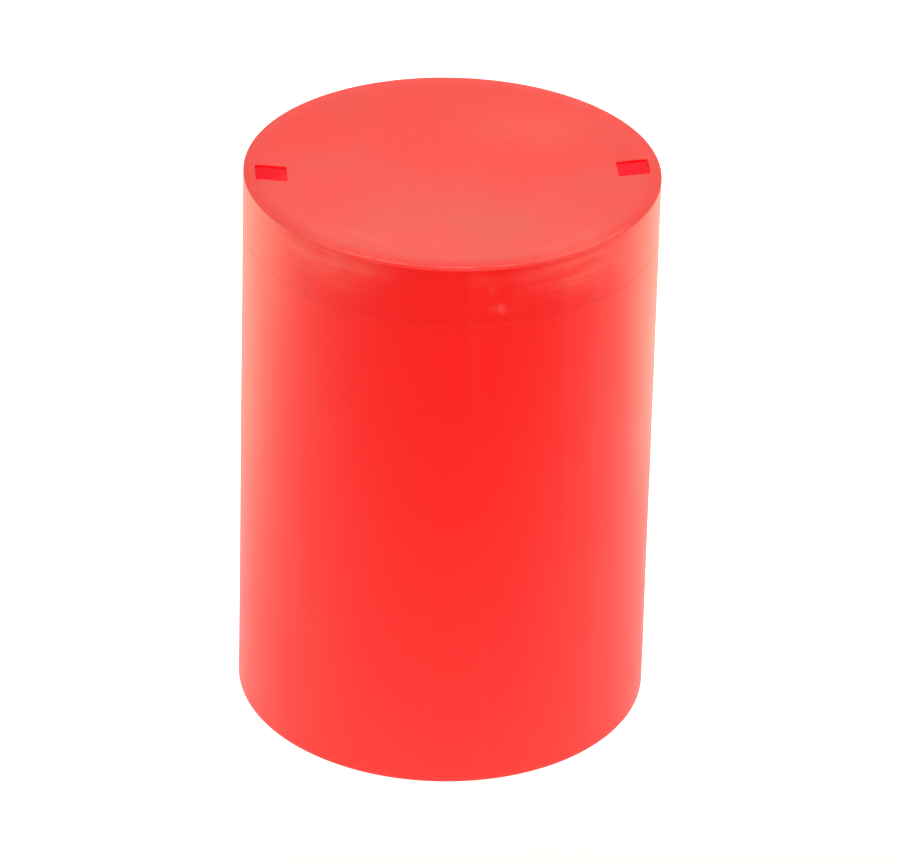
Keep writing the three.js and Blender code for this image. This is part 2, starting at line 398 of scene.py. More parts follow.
def red_polyethylene(name, through, passed_on):
    """Bright red moulded polyethylene that light passes through. On the head it has painted light and shade
    on the upward face, less red and paler with random haze, and round tool marks. Under the rim it has
    streaks, and across the front a painted highlight on the rim's edge and painted light in patches below
    it. It has faint runs down the wall, and scuffs."""
    material = bpy.data.materials.new(name)
    material.use_nodes = True
    tree = material.node_tree
    shader = tree.nodes["Principled BSDF"]
    place = node(tree, "ShaderNodeTexCoord").outputs["Object"]
    axes = node(tree, "ShaderNodeSeparateXYZ", {"Vector": place}).outputs
    across = node(tree, "ShaderNodeVectorMath", {0: place, 1: (1, 1, 0)}, operation="MULTIPLY").outputs[0]
    radius = node(tree, "ShaderNodeVectorMath", {0: across}, operation="LENGTH").outputs["Value"]
    section = node(tree, "ShaderNodeCombineXYZ", {"X": radius, "Z": axes["Z"]}).outputs[0]
    normal = node(tree, "ShaderNodeNewGeometry").outputs["Normal"]
    facing = node(tree, "ShaderNodeSeparateXYZ", {"Vector": normal}).outputs
    on_top = step(tree, facing["Z"], 0.75, 0.97)

    clouds = noise(tree, place, (7, 7, 7), 2.5)
    patches = noise(tree, place, (8, 8, 14), 2.0)
    rings = noise(tree, place, (5, 5, 170), 4.0)
    runs = noise(tree, place, (48, 48, 1.6), 3.0)
    specks = noise(tree, place, (90, 90, 90), 3.0)
    nicks = noise(tree, place, (60, 60, 60))
    light_blotch_noise = noise(tree, place, (26, 26, 60), 3.0)

    # Streaks round the drum, mostly in the trimmed patches below the rim, which also get painted light
    trimmed_and_lit = maths(tree, "MAXIMUM", *(near(tree, place, middle, STREAK_AND_LIGHT_PATCH_SIZE) for middle in STREAK_AND_LIGHT_PATCHES))
    by_rim = maths(tree, "MULTIPLY_ADD", trimmed_and_lit, 0.8, step(tree, patches, 0.5, 0.7, 0.0, 0.25))
    by_rim = maths(tree, "MULTIPLY", by_rim, step(tree, axes["Z"], 0.60, 0.665))
    streaks = maths(tree, "MULTIPLY", by_rim, step(tree, rings, 0.4, 0.65))
    # Painted light in blotches over the trimmed patches, lifting the shade under the rim
    painted_light_blotches = step(tree, light_blotch_noise, 0.35, 0.65, 0.22, 0.48)

    # Painted light and shade on the head's upward face, short of the rim: less red and paler, most at the
    # front, with random haze
    top_shade_spot = near(tree, place, TOP_SHADE_PLACE, TOP_SHADE_SIZE)
    top_shade_and_haze = maths(tree, "MULTIPLY_ADD", top_shade_spot, 0.35, step(tree, clouds, 0.32, 0.68, 0.0, 0.65))
    top_shade_and_haze = maths(tree, "MULTIPLY_ADD", specks, 0.3, top_shade_and_haze)
    top_shade_and_haze = maths(tree, "MULTIPLY", top_shade_and_haze, step(tree, radius, 0.226, 0.243, 1.0, 0.1))
    top_shade_and_haze = maths(tree, "MULTIPLY", on_top, top_shade_and_haze)

    # Round tool marks on the head
    marks = noise(tree, node(tree, "ShaderNodeCombineXYZ", {"X": radius}).outputs[0], (150, 1, 1))
    marks = maths(tree, "MULTIPLY", near(tree, place, TOOL_MARKS, TOOL_MARKS_SIZE), marks)

    # A painted highlight along the rim's edge across the front, broken by nicks
    from_left = step(tree, axes["X"], -0.145, -0.11)
    across_front = maths(tree, "MULTIPLY", from_left, step(tree, axes["Y"], -0.14, -0.17))
    painted_rim_highlight = maths(tree, "MULTIPLY", near(tree, section, RIM_HIGHLIGHT_PLACE, RIM_HIGHLIGHT_SIZE), across_front)
    painted_rim_highlight = maths(tree, "MULTIPLY", painted_rim_highlight, step(tree, nicks, 0.42, 0.55, 0.1, 1.1))

    # Scuffs
    scuffs = []
    for middle, size, strength in SCUFFS:
        scuffs.append(maths(tree, "MULTIPLY", near(tree, place, middle, size), strength))
    scuff = maths(tree, "MAXIMUM", *scuffs)
    scuff = maths(tree, "MULTIPLY", scuff, step(tree, specks, 0.4, 0.6, 0.15, 0.55))

    # How pale the plastic is, from all of these: real marks, and the painted highlight and painted light by
    # the rim
    pale = maths(tree, "MULTIPLY_ADD", streaks, 0.5, scuff)
    pale = maths(tree, "MULTIPLY_ADD", marks, 0.6, pale)
    # the painted highlight on the rim's edge
    pale = maths(tree, "MULTIPLY_ADD", painted_rim_highlight, 2.5, pale)
    # painted light in the trimmed patches below the rim
    pale = maths(tree, "MULTIPLY_ADD", trimmed_and_lit, painted_light_blotches, pale)
    pale = maths(tree, "MULTIPLY_ADD", step(tree, runs, 0.5, 0.8), 0.1, pale)

    # The head's upward face takes the colour of its painted light and shade
    top_shaded = node(tree, "ShaderNodeMix", {"Factor": maths(tree, "MULTIPLY", top_shade_and_haze, 0.6)}, data_type="RGBA")
    top_shaded.inputs[COLOUR_A].default_value = (*RED, 1)
    top_shaded.inputs[COLOUR_B].default_value = (*TOP_SHADE_AND_HAZE_RED, 1)
    mix = node(tree, "ShaderNodeMix", {"Factor": pale}, data_type="RGBA")
    tree.links.new(top_shaded.outputs[COLOUR_RESULT], mix.inputs[COLOUR_A])
    mix.inputs[COLOUR_B].default_value = (*PALE_RED, 1)
    tree.links.new(mix.outputs[COLOUR_RESULT], shader.inputs["Base Color"])
    shader.inputs["Specular IOR Level"].default_value = 0.8
    shader.inputs["Specular Tint"].default_value = (1, 1, 0.85, 1)

    rough = maths(tree, "MULTIPLY_ADD", clouds, 0.14, 0.28)
    rough = maths(tree, "MULTIPLY_ADD", by_rim, maths(tree, "MULTIPLY", rings, 0.2), rough)
    tree.links.new(rough, shader.inputs["Roughness"])

    # Relief: the wall's slow swell, its runs, the streaks, the tool marks, and a fine grain
    swell = noise(tree, place, (8, 8, 6), 0.0)
    grain = noise(tree, place, (600, 600, 600))
    bump(tree, shader, swell, 0.0006)
    bump(tree, shader, runs, 0.0001)
    bump(tree, shader, maths(tree, "MULTIPLY", by_rim, rings), 0.0002)
    bump(tree, shader, marks, 0.001)
    bump(tree, shader, grain, 0.00001)

    behind = node(tree, "ShaderNodeBsdfTranslucent", {"Color": (*passed_on, 1)}).outputs[0]
    both = node(tree, "ShaderNodeMixShader", {"Fac": through, 1: shader.outputs[0], 2: behind}).outputs[0]
    tree.links.new(both, tree.nodes["Material Output"].inputs["Surface"])
    return material


red = red_polyethylene("red_polyethylene", THROUGH, (0.96, 0.075, 0.1))
inner_red = red_polyethylene("inner_red_polyethylene", THROUGH_INSIDE, (1.0, 0.8, 0.88))
dark_red = plastic("dark_red_polyethylene", (0.33, 0.006, 0.006), (0.42, 0.02, 0.017), 0.4)
black = plastic("black_polypropylene", (0.016, 0.017, 0.018), (0.035, 0.035, 0.037), 0.42)
rubber = plastic("black_rubber", (0.01, 0.01, 0.011), (0.03, 0.03, 0.031), 0.68, 1500.0)


# ---- Wall ----

EDGE = 0.8  # radius of the foot's sharp edge
SEAM_EDGE = 0.2  # radius of the seam's edges
SEAM_BEAD = 0.1  # how far the weld stands out on each side of the seam
POCKET_EDGE = 3.0  # radius of the pocket's edges
FLOOR_RING = 45  # radius of a ring of points on the pocket's flat floor
SHOULDER = SEAM_HEIGHT - 0.06  # the seam is closed by its weld
NECK = SKIRT + GAP
WINDOW_ROWS = (6.0, 150.0)  # heights that bound the part of the wall round the pocket
WINDOW_COLUMNS = 16  # and half its width, in columns


def inside_wall(places):
    """Whether each place is on the wall's inner side or its neck."""
    reach = np.hypot(places[:, 0], places[:, 1])
    from_axis = np.hypot(places[:, 0], places[:, 2] - DRAIN_HEIGHT)
    deep = places[:, 1] < POCKET_FLOOR - WALL / 2
    pocket = (places[:, 1] > 0) & (from_axis < POCKET_RADIUS + WALL / 2) & ~deep
    return (reach < outside_radius(places[:, 2]) - WALL / 2) & ~pocket


def make_wall():
    shell = Shell()
    low, high = WINDOW_ROWS
    outer = arc((outside_radius(0) - EDGE, EDGE), EDGE, -90, 0)
    outer += line((outside_radius(1.5), 1.5), (outside_radius(low), low), 2)
    first = len(outer)
    outer += line((outside_radius(low), low), (outside_radius(high), high), 5)
    last = len(outer)
    edge_low = SHOULDER - SEAM_EDGE
    outer += line((outside_radius(high), high), (outside_radius(edge_low), edge_low), 7)
    outer += arc((outside_radius(SHOULDER) - SEAM_EDGE + SEAM_BEAD, edge_low), SEAM_EDGE, -60, 90, 5)
    neck = outside_radius(SHOULDER) - NECK
    outer += [(neck, SHOULDER), (outside_radius(NECK_TOP) - NECK, NECK_TOP)]
    inner = [(outside_radius(NECK_TOP) - NECK - WALL, NECK_TOP), (neck - WALL, SHOULDER - WALL)]
    bend = SHOULDER - 2 * WALL
    inner += line((outside_radius(bend) - WALL, bend), (outside_radius(high) - WALL, high), 14)
    inner_first = len(outer) + len(inner)
    inner += line((outside_radius(high) - WALL, high), (outside_radius(low) - WALL, low), 5)
    inner_last = len(outer) + len(inner)
    inner += [(outside_radius(low) - WALL, low), (outside_radius(EDGE) - WALL, EDGE)]
    inner += [(outside_radius(0) - WALL + EDGE, 0)]
    rows = shell.add(revolved(outer + inner))
    back = COLUMNS // 4
    outside, inside = rows_with_windows(
        shell,
        rows,
        [(first, last, back, WINDOW_COLUMNS), (inner_first, inner_last, back, WINDOW_COLUMNS)],
    )
    add_pocket(shell, outside, inside)
    return shell.build("barrel_wall_moulding", red, settled, inside_wall)


def add_pocket(shell, outside, inside):
    """The round pocket for the drain fitting, from the wall's outside loop, through its floor's hole, to
    the inside loop."""
    count = 144
    turns = 2 * math.pi * np.arange(count) / count

    def on_wall(reaches, depth=0.0):
        x = reaches * np.cos(turns)
        z = DRAIN_HEIGHT + reaches * np.sin(turns)
        y = np.sqrt(np.maximum((outside_radius(z) - depth) ** 2 - x**2, 0))
        return np.column_stack([x, y, z])

    def at_depth(radius, y):
        x, z = radius * np.cos(turns), DRAIN_HEIGHT + radius * np.sin(turns)
        return np.column_stack([x, np.broadcast_to(y, x.shape), z])

    half_x = FOOT_RADIUS * math.sin(2 * math.pi * WINDOW_COLUMNS / COLUMNS)
    low, high = WINDOW_ROWS
    window = np.where(
        np.sin(turns) > 0,
        window_reach(turns, half_x, high - DRAIN_HEIGHT),
        window_reach(turns, half_x, DRAIN_HEIGHT - low),
    )

    def surface_rings(radius, depth):
        """Rings on the wall that go from the window's shape to a circle."""
        return [on_wall(window * (1 - s) + radius * s, depth) for s in np.linspace(0.05, 1, 8)]

    mouth = POCKET_RADIUS + POCKET_EDGE
    hole = BARREL_RADIUS + GAP
    rings = surface_rings(mouth, 0)
    for turn in np.radians([22.5, 45, 67.5, 90]):
        rings.append(on_wall(np.full(count, mouth - POCKET_EDGE * math.sin(turn)), 0))
        rings[-1][:, 1] -= POCKET_EDGE * (1 - math.cos(turn))
    rim = rings[-1][:, 1]
    for share in np.linspace(0.15, 1, 6):
        rings.append(at_depth(POCKET_RADIUS, rim + (POCKET_FLOOR + POCKET_EDGE - rim) * share))
    for turn in np.radians([30, 60, 90]):
        radius = POCKET_RADIUS - POCKET_EDGE * (1 - math.cos(turn))
        rings.append(at_depth(radius, POCKET_FLOOR + POCKET_EDGE * (1 - math.sin(turn))))
    rings += [at_depth(radius, POCKET_FLOOR) for radius in (FLOOR_RING, hole)]
    rings += [at_depth(hole, POCKET_FLOOR - WALL)]
    outer_bend = POCKET_RADIUS + WALL
    rings += [at_depth(outer_bend - POCKET_EDGE, POCKET_FLOOR - WALL)]
    for turn in np.radians([30, 60, 90]):
        radius = outer_bend - POCKET_EDGE * (1 - math.sin(turn))
        rings.append(at_depth(radius, POCKET_FLOOR - WALL + POCKET_EDGE * (1 - math.cos(turn))))
    inner_rim = on_wall(np.full(count, outer_bend), WALL)[:, 1]
    for share in np.linspace(0.3, 1, 4):
        start = POCKET_FLOOR - WALL + POCKET_EDGE
        rings.append(at_depth(outer_bend, start + (inner_rim - start) * share))
    rings += surface_rings(outer_bend, WALL)[::-1][1:]
    loops = [shell.add(ring) for ring in rings]
    shell.bands(loops)
    for window_loop, ring in ((outside, loops[0]), (inside, loops[-1])):
        at = np.array([shell.points[i] for i in window_loop])
        around = np.arctan2(at[:, 2] - DRAIN_HEIGHT, at[:, 0]) % (2 * math.pi)
        shell.zip_loops(window_loop, around, ring, turns)


# ---- Head ----

SOFT_EDGE = 1.0  # radius of the rim's edge
CRISP_EDGE = 1.4  # and of the first turn across the front, where the burr was trimmed
WIDE_EDGE = 6.0  # and of the second turn there
CRISP_TURN = 45  # slope at which the one becomes the other, in degrees
BURR = 0.25  # how far the burr stands up
CRISP_FROM, CRISP_TO = -120, -42  # where the burr starts and ends, in degrees from +X
CRISP_FADE_IN, CRISP_FADE_OUT = 8, 20  # and how many degrees it takes to grow and to die away
BELOW_RIM = 10  # where the head's straight side begins
RIM_LEAN = 7  # degrees that the land falls outwards at the rim
PORT_CORNER = 2.5  # radius of a port's corners, seen from above
PORT_EDGE = 0.7  # radius of its edges
PORT_WINDOW = (188.0, 244.0)  # radii that bound the part of the head round each port
PORT_COLUMNS = 7  # and half its width, in columns


def smooth(values):
    values = np.clip(values, 0, 1)
    return values * values * (3 - 2 * values)


def rim_edge():
    """Profile of the rim's edge, with a value for each column. Across the front it turns over in a small
    round with a low burr and then in a wide one, and elsewhere it is one small round."""
    turns = column_turns()
    degrees = (np.degrees(turns) + 180) % 360 - 180
    crisp = smooth((degrees - CRISP_FROM) / CRISP_FADE_IN + 0.5)
    crisp = crisp * smooth((CRISP_TO - degrees) / CRISP_FADE_OUT + 0.5)
    wide = SOFT_EDGE + (WIDE_EDGE - SOFT_EDGE) * crisp
    small = SOFT_EDGE + (CRISP_EDGE - SOFT_EDGE) * crisp
    start, change = math.radians(90 - RIM_LEAN), math.radians(CRISP_TURN)
    hub = TOP_RADIUS - wide + (wide - small) * math.cos(change)  # middle of the first turn
    land = hub + small * math.cos(start)
    low = dish_height(land) - small * math.sin(start)
    below = low - (wide - small) * math.sin(change)  # height of the second turn's middle
    uneven = 0.55 + 0.25 * np.sin(9 * turns + 1.0) + 0.2 * np.sin(23 * turns)
    points = [(land - back, dish_height(land - back)) for back in (2, 1)]
    for share in np.linspace(0, 1, 6):
        turn = start + (change - start) * share
        reach = small + BURR * crisp * uneven * math.sin(math.pi * share) ** 2
        points.append((hub + reach * math.cos(turn), low + reach * math.sin(turn)))
    for share in np.linspace(0, 1, 6)[1:]:
        turn = change * (1 - share)
        points.append((TOP_RADIUS - wide + wide * math.cos(turn), below + wide * math.sin(turn)))
    return points


def under_head(places):
    """Whether each place is on the head's underside or inside its skirt."""
    reach = np.hypot(places[:, 0], places[:, 1])
    from_port = np.maximum(np.abs(np.abs(places[:, 0]) - PORT_RADIUS), np.abs(places[:, 1]))
    in_port = from_port < PORT_SIDE / 2 + 0.1
    under = places[:, 2] < dish_height(reach) - WALL * 0.7
    return under & ~in_port & (reach < outside_radius(places[:, 2]) - SKIRT / 2)


def make_head():
    shell = Shell()
    window_start, window_end = PORT_WINDOW

    def upper(radius):
        return (radius, dish_height(radius))

    def lower(radius):
        return (radius, dish_height(radius) - WALL)

    profile = [upper(r) for r in np.arange(HUB_RADIUS, window_start - 1, 6)]
    first = len(profile)
    profile += [upper(r) for r in np.arange(window_start, window_end, 4)]
    last = len(profile)
    profile += rim_edge()
    edge_high = SEAM_HEIGHT + SEAM_EDGE
    side_high = HEIGHT - BELOW_RIM
    profile += line((outside_radius(side_high), side_high), (outside_radius(edge_high), edge_high), 4)
    profile += arc((outside_radius(edge_high) - SEAM_EDGE + SEAM_BEAD, edge_high), SEAM_EDGE, 60, -90, 5)
    skirt = outside_radius(SEAM_HEIGHT) - SKIRT
    bend = 3.0
    inner_top = TOP_RADIUS - SKIRT
    corner = (inner_top - bend, dish_height(inner_top - bend) - WALL - bend)
    profile += [(skirt, SEAM_HEIGHT)] + arc(corner, bend, 0, 90)
    inner_first = len(profile)
    profile += [lower(r) for r in np.arange(window_end, window_start, -4)]
    inner_last = len(profile)
    profile += [lower(r) for r in np.arange(window_start, HUB_RADIUS, -12)] + [lower(HUB_RADIUS)]
    rows = shell.add(revolved(profile))
    windows = []
    for side in (0, COLUMNS // 2):
        windows.append((first, last, side, PORT_COLUMNS))
        windows.append((inner_first, inner_last, side, PORT_COLUMNS))
    loops = rows_with_windows(shell, rows, windows, closed=False)
    shell.fan(rows[0], (0, 0, dish_height(0)))
    shell.fan(rows[-1], (0, 0, dish_height(0) - WALL))
    add_port(shell, 1, loops[0], loops[1])
    add_port(shell, -1, loops[2], loops[3])
    return shell.build("top_head_moulding", red, settled, under_head)


def add_port(shell, side, above, below):
    """A square port through the head at one side, from the loop on its upper face to its lower face's."""
    count = 128
    middle = side * PORT_RADIUS

    def ring(growth, corner, depth=0.0):
        turns, reaches = rounded_square(PORT_SIDE + 2 * growth, corner, count)
        x, y = middle + reaches * np.cos(turns), reaches * np.sin(turns)
        return np.column_stack([x, y, dish_height(np.hypot(x, y)) - depth])

    rings = [ring(growth, PORT_CORNER + growth) for growth in (5.5, 4.0, 2.5, 1.4, PORT_EDGE)]
    for turn in np.radians([30, 60, 90]):
        growth = PORT_EDGE * (1 - math.sin(turn))
        rings.append(ring(growth, PORT_CORNER + growth, PORT_EDGE * (1 - math.cos(turn))))
    rings.append(ring(0, PORT_CORNER, WALL / 2))
    for turn in np.radians([90, 60, 30]):
        growth = PORT_EDGE * (1 - math.sin(turn))
        rings.append(ring(growth, PORT_CORNER + growth, WALL - PORT_EDGE * (1 - math.cos(turn))))
    rings += [ring(growth, PORT_CORNER + growth, WALL) for growth in (PORT_EDGE, 2.5, 5.5)]
    loops = [shell.add(points) for points in rings]
    shell.bands(loops)
    turns, _ = rounded_square(PORT_SIDE, PORT_CORNER, count)
    for window_loop, port_loop in ((above, loops[0]), (below, loops[-1])):
        at = np.array([shell.points[i] for i in window_loop])
        around = np.arctan2(at[:, 1], at[:, 0] - middle) % (2 * math.pi)
        shell.zip_loops(window_loop, around, port_loop, turns)


# ---- Base ----


def over_base(places):
    """Whether each place is on the base plate's upper face."""
    reach = np.hypot(places[:, 0], places[:, 1])
    return places[:, 2] > crown_height(reach) + BASE_THICKNESS * 0.6


def make_base():
    shell = Shell()
    edge = outside_radius(BASE_LIFT) - WALL - 0.1
    bead = 2.5  # radius of the weld round its edge
    under = [(r, crown_height(r)) for r in np.arange(HUB_RADIUS, edge - bead, 12)]
    under += arc((edge - bead, crown_height(edge) - bead), bead, 90, 20)
    edge_low, edge_high = crown_height(edge), crown_height(edge) + BASE_THICKNESS
    over = [(edge, edge_low - bead * 0.6), (edge, edge_high + bead * 0.6)]
    over += arc((edge - bead, edge_high + bead), bead, -20, -90)
    inner = np.arange(edge - 2 * bead, HUB_RADIUS, -12)
    over += [(r, crown_height(r) + BASE_THICKNESS) for r in inner]
    rows = shell.add(revolved(under + over))
    rows_with_windows(shell, rows, [], closed=False)
    shell.fan(rows[0], (0, 0, crown_height(0)))
    shell.fan(rows[-1], (0, 0, crown_height(0) + BASE_THICKNESS))
    return shell.build("base_plate_moulding", red, hidden=over_base)


# ---- Drain fitting ----

# Its shapes are made on its own axis: Z points out of the drum from the pocket's floor, and Y points down.

FLANGE_FACE = flange_high.y - POCKET_FLOOR
FLANGE_LOW = gasket_high.y + GAP - POCKET_FLOOR
BUSHING_END = flange_low.y - POCKET_FLOOR
NUT_LOW, NUT_HIGH = nut_low.y - POCKET_FLOOR, nut_high.y - POCKET_FLOOR
SEAL_LOW, SEAL_HIGH = seal_low.y - POCKET_FLOOR, seal_high.y - POCKET_FLOOR
SHANK_END = plug_low.y - POCKET_FLOOR
CAP_LOW = SEAL_HIGH + GAP
CAP_FACE = CAP_LOW + 5  # the cap is 5 mm thick
GRIP_TOP = plug_high.y - POCKET_FLOOR

BUSHING_BORE = 28.3  # radius
SHANK_RADIUS = 26.6
SHANK_HOLLOW_RADIUS = 22
SEAL_INNER_RADIUS = 28.1
GRIP_LENGTH, GRIP_WIDTH = 60, 12

THREAD_PITCH = 4
THREAD_TURNS = 4
THREAD_HEIGHT = 1.1
THREAD_HALF = 1.8  # half the width of the thread's rounded ridge
PLUG_THREAD_START = SHANK_END + THREAD_PITCH / 2
BUSHING_THREAD_START = SHANK_END  # half a turn out of step with the plug's, to mesh
NUT_THREAD_PITCH = 2.5
NUT_THREAD_DEPTH = 0.5
NUT_SIDES = 8
SCALLOPS = 30  # round the plug's cap
SCALLOP_DEPTH = 1.1
RECESS_RADIUS, RECESS_DEPTH = 34, 0.5  # the recess in the cap's face, round the grip bar

FITTING_COLUMNS = 144


def outward(points):
    """Points on the drain's own axis, in the drum's frame."""
    x, y, z = np.moveaxis(np.asarray(points, float), -1, 0)
    return np.stack([x, POCKET_FLOOR + z, DRAIN_HEIGHT - y], axis=-1)


def add_turned(shell, profile, closed):
    """A profile of (radius, height) turned round the drain's axis. Returns its rows of points."""
    rows = shell.add(outward(revolved(profile, FITTING_COLUMNS)))
    rows_with_windows(shell, rows, [], closed)
    return rows


def thread(height, start):
    """How far a thread that winds up from start stands out at a height, for each column."""
    share = column_turns(FITTING_COLUMNS) / (2 * math.pi)
    along = (height - start) / THREAD_PITCH - share
    nearest = np.clip(np.round(along), 0, THREAD_TURNS - 1)
    away = np.clip((along - nearest) * THREAD_PITCH / THREAD_HALF, -1, 1)
    wound = nearest + share
    fade = smooth(wound / 0.3) * smooth((THREAD_TURNS - wound) / 0.3)
    return THREAD_HEIGHT * fade * (0.5 + 0.5 * np.cos(math.pi * away))


def threaded(radius, start, low, high, inwards=False):
    """Points of a threaded wall in a profile, from low up to high."""
    side = -1 if inwards else 1
    heights = np.linspace(low, high, round((high - low) / 0.45) + 1)
    return [(radius + side * thread(height, start), height) for height in heights]


def fine_thread(radius, low, high, side):
    """Points of a fine thread cut into a wall at a radius, from low to high, to one side of it."""
    share = column_turns(FITTING_COLUMNS) / (2 * math.pi)
    points = []
    for height in np.linspace(low, high, round(abs(high - low) / 0.4) + 1):
        cut = 0.5 - 0.5 * np.cos(2 * math.pi * (height / NUT_THREAD_PITCH - share))
        points.append((radius + side * NUT_THREAD_DEPTH * cut, height))
    return points


def make_bushing():
    shell = Shell()
    edge = 1.0
    profile = [(BUSHING_BORE + edge, BUSHING_END), (BUSHING_BORE, BUSHING_END + edge)]
    profile += threaded(BUSHING_BORE, BUSHING_THREAD_START, SHANK_END - 2, FLANGE_FACE - 1.2, inwards=True)
    profile += arc((BUSHING_BORE + edge, FLANGE_FACE - edge), edge, 180, 90)
    profile += arc((FLANGE_RADIUS - edge, FLANGE_FACE - edge), edge, 90, 0)
    profile += arc((FLANGE_RADIUS - 0.5, FLANGE_LOW + 0.5), 0.5, 0, -90)
    profile += [(BARREL_RADIUS, FLANGE_LOW)]
    profile += fine_thread(BARREL_RADIUS, 0, BUSHING_END + edge, -1)
    profile += [(BARREL_RADIUS - edge, BUSHING_END)]
    add_turned(shell, profile, True)
    return shell.build("drain_bushing_moulding", black)


def make_gasket():
    """A flat ring that the flange has squeezed outwards a little."""
    shell = Shell()
    low, high = gasket_low.y - POCKET_FLOOR, gasket_high.y - POCKET_FLOOR
    middle, half = (low + high) / 2, (high - low) / 2
    profile = [(BARREL_RADIUS + GAP, low), (BARREL_RADIUS + GAP, high)]
    profile += arc((FLANGE_RADIUS - 0.7, middle), half, 90, -90, 8)
    add_turned(shell, profile, True)
    return shell.build("bushing_gasket_ring", rubber)


def make_nut():
    """An eight-sided nut with its corners turned down at both faces."""
    shell = Shell()
    flat = nut_high.x * math.cos(math.pi / NUT_SIDES)
    side = 2 * math.pi / NUT_SIDES
    outline = flat / np.cos((column_turns(FITTING_COLUMNS) % side) - side / 2)
    bore = BARREL_RADIUS + GAP
    # Depths below a face, and the reach that the turned-down corners have there
    steps = [(0.0, flat - 1.0), (0.5, flat + 0.1), (1.1, flat + 1.1), (1.8, flat + 2.1)]
    steps += [(2.6, nut_high.x - 0.6)]
    outer = [(np.minimum(outline, limit), NUT_LOW + up) for up, limit in steps]
    outer += [(np.minimum(outline, limit), NUT_HIGH - down) for down, limit in steps[::-1]]
    chamfer = 1.0
    profile = outer + [(bore + chamfer, NUT_HIGH), (bore, NUT_HIGH - chamfer)]
    profile += [(bore, NUT_LOW + chamfer), (bore + chamfer, NUT_LOW)]
    add_turned(shell, profile, True)
    return shell.build("bushing_locknut_moulding", black)


def make_seal():
    shell = Shell()
    low, high, edge = SEAL_LOW, SEAL_HIGH, 1.1
    inner, outer = SEAL_INNER_RADIUS + edge, seal_high.x - edge
    profile = arc((outer, low + edge), edge, -90, 0) + arc((outer, high - edge), edge, 0, 90)
    profile += arc((inner, high - edge), edge, 90, 180) + arc((inner, low + edge), edge, 180, 270)
    add_turned(shell, profile, True)
    return shell.build("plug_seal_ring", rubber)


def grip_outline(growth, height):
    """The outline of the plug's grip bar, grown by so much, at a height."""
    straight, radius = (GRIP_LENGTH - GRIP_WIDTH) / 2, GRIP_WIDTH / 2 + growth
    points = [(radius, y) for y in np.linspace(-straight, straight, 9)[:-1]]
    points += arc((0, straight), radius, 0, 180, 16)[:-1]
    points += [(-radius, y) for y in np.linspace(straight, -straight, 9)[:-1]]
    points += arc((0, -straight), radius, 180, 360, 16)[:-1]
    return np.array([(x, y, height) for x, y in points])


def make_plug():
    """A hollow threaded shank, a cap with scallops round its edge, and a grip bar across the cap."""
    shell = Shell()
    hollow_end = CAP_LOW - WALL
    edge, corner = 0.8, 2.0
    profile = [(4, hollow_end), (12, hollow_end)]
    profile += arc((SHANK_HOLLOW_RADIUS - corner, hollow_end - corner), corner, 90, 0)
    profile += arc((SHANK_HOLLOW_RADIUS + edge, SHANK_END + edge), edge, 180, 270)
    profile += arc((SHANK_RADIUS - edge, SHANK_END + edge), edge, -90, 0)
    profile += threaded(SHANK_RADIUS, PLUG_THREAD_START, SHANK_END + 1.2, CAP_LOW - 0.8)
    profile += arc((SHANK_RADIUS + 0.6, CAP_LOW - 0.6), 0.6, 180, 90)
    scallop = SCALLOP_DEPTH * (0.5 - 0.5 * np.cos(SCALLOPS * column_turns(FITTING_COLUMNS))) ** 2
    low_edge = arc((CAP_RADIUS - edge, CAP_LOW + edge), edge, -90, 0)
    high_edge = arc((CAP_RADIUS - 1.2, CAP_FACE - 1.2), 1.2, 0, 90, 6)
    for radius, height in low_edge + high_edge:
        profile.append((radius - scallop * (radius - CAP_RADIUS + 1.2) / 1.2, height))
    recess = CAP_FACE - RECESS_DEPTH
    profile += [(RECESS_RADIUS, CAP_FACE), (RECESS_RADIUS - 0.4, CAP_FACE - 0.1)]
    profile += [(RECESS_RADIUS - 0.8, recess), (RECESS_RADIUS - 1.6, recess)]
    rows = add_turned(shell, profile, False)
    shell.fan(rows[0], outward([0, 0, hollow_end]))

    fillet, rounding, draft = 1.0, 2.2, 0.3
    outlines = []
    for turn in np.radians([0, 30, 60, 90]):
        growth, up = fillet * (1 - math.sin(turn)), fillet * (1 - math.cos(turn))
        outlines.append(grip_outline(growth, recess + up))
    for turn in np.radians([0, 18, 36, 54, 72, 90]):
        growth = -draft - rounding * (1 - math.cos(turn))
        outlines.append(grip_outline(growth, GRIP_TOP - rounding * (1 - math.sin(turn))))
    loops = [shell.add(outward(outline)) for outline in outlines]
    shell.bands(loops)
    shell.fan(loops[-1], outward([0, 0, GRIP_TOP]))
    base = outlines[0]
    around = np.arctan2(base[:, 1], base[:, 0]) % (2 * math.pi)
    shell.zip_loops(rows[-1], column_turns(FITTING_COLUMNS), loops[0], around)
    return shell.build("drain_plug_moulding", dark_red)


# ---- Stage ----

WALLS = (1, 0.97, 0.85)  # colour of the studio's walls
FILL, MIRRORED = 0.6, 1.5  # the light that they give, and how bright they are in a reflection
FLOOR_GLOW = 1.65  # the floor is a lit table
FLOOR_SIDES = 0.6  # by what share it is brighter to the left and right of the drum, towards the back
FLOOR_COLOUR = (1, 0.98, 0.89)
FLOOR_SIDES_COLOUR = (1, 0.96, 0.74)
FLOOR_LIGHT, FLOOR_DARK = 0.5, -1.5  # it is fully lit behind the first Y, and dark in front of the second


